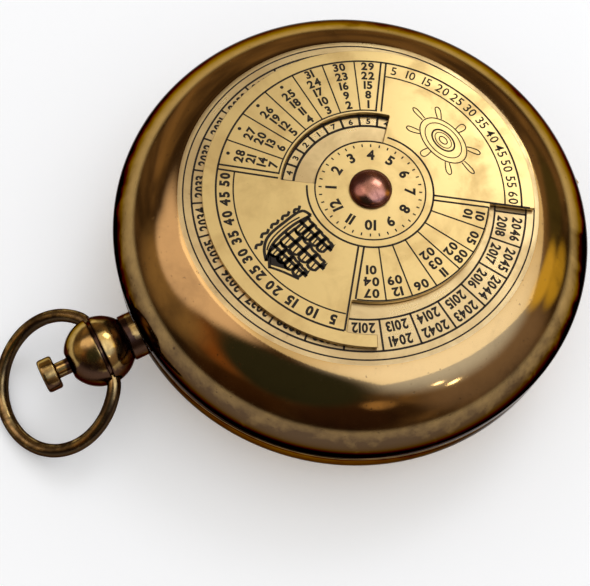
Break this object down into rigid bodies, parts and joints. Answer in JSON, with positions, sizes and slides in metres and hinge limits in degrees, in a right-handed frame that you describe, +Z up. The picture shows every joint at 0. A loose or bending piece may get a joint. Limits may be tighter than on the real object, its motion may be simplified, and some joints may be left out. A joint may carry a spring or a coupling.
{
  "type": "pushbutton compass",
  "caption": "Round brass pocket compass in a hinged hunter case, with a push button in a ball pendant, a wire bow and a turning calendar disc on the domed lid.",
  "frame": {"origin": "centre of the flat foot that the closed case stands on", "axes": "+Z up through the lid, +Y from the middle of the case to the pendant and the push button, +X to the right seen from the hinge; the hinge lies along X at the -Y side"},
  "size_m": [0.05, 0.0661, 0.0184],
  "materials": {
    "polished_brass": "polished to a mirror, lightly worn",
    "satin_brass": "satin brushed",
    "aged_brass": "antique brown patina, bright on the high places",
    "copper": "darkened copper",
    "steel": "ground spring steel",
    "blued_steel": "blued, red at the far half",
    "card": "matte printed card",
    "black_fill": "matt black wax in the engraved lines and black print on the card",
    "red_lacquer": "thin red lacquer",
    "glass": "clear"
  },
  "bodies": {
    "case": {"case_body": "polished_brass", "hinge_knuckle_left": "aged_brass", "hinge_knuckle_right": "aged_brass", "hinge_pin": "steel", "pendant": "aged_brass", "button_spring": "steel", "catch_screw": "steel", "lift_screw": "steel", "compass_bowl": "satin_brass", "dial_plate": "satin_brass", "dial_card": "card", "pivot_boss": "satin_brass", "pivot_pin": "steel", "spacer_ring": "satin_brass", "glass": "glass", "bezel": "polished_brass"},
    "lid": {"lid": "polished_brass", "hinge_knuckle_lid": "aged_brass", "calendar_rivet": "copper", "rivet_washer": "satin_brass"},
    "calendar": {"calendar_disc": "satin_brass"},
    "button": {"button_cap": "aged_brass", "button_stem": "aged_brass"},
    "catch": {"catch_spring": "steel"},
    "lift": {"lift_spring": "steel"},
    "bow": {"bow": "aged_brass"},
    "needle": {"needle": "blued_steel", "needle_cap": "satin_brass"}
  },
  "joints": [
    {"name": "lid_hinge", "type": "hinge", "parent": "case", "child": "lid", "pos_m": [0, -0.0242, 0.0086], "axis": [1, 0, 0], "range_deg": [0, 100]},
    {"name": "calendar_spin", "type": "hinge", "parent": "lid", "child": "calendar", "pos_m": [-0.00037, -0.00083, 0.017], "axis": [0, 0, 1], "continuous": true},
    {"name": "button_push", "type": "slide", "parent": "case", "child": "button", "axis": [0, -1, 0], "range_m": [0, 0.001], "stiffness_N_per_m": 500, "springref_m": -0.001, "deforming": ["button_spring"]},
    {"name": "catch_flex", "type": "hinge", "parent": "case", "child": "catch", "pos_m": [-0.01622, 0.01361, 0.0069], "axis": [0, 0, -1], "range_deg": [0, 3.6]},
    {"name": "lift_flex", "type": "hinge", "parent": "case", "child": "lift", "pos_m": [0.01622, -0.01361, 0.0069], "axis": [0, 0, 1], "range_deg": [0, 2.9]},
    {"name": "bow_swing", "type": "hinge", "parent": "case", "child": "bow", "pos_m": [0, 0.0291, 0.0072], "axis": [1, 0, 0], "range_deg": [-110, 150]},
    {"name": "needle_spin", "type": "hinge", "parent": "case", "child": "needle", "pos_m": [0, 0, 0.0059], "axis": [0, 0, 1], "continuous": true}
  ],
  "couplings": [
    {"joint": "catch_flex", "follows": "button_push", "rad_per_m": 61.6},
    {"joint": "lift_flex", "follows": "lid_hinge", "ratio": 0.028}
  ]
}
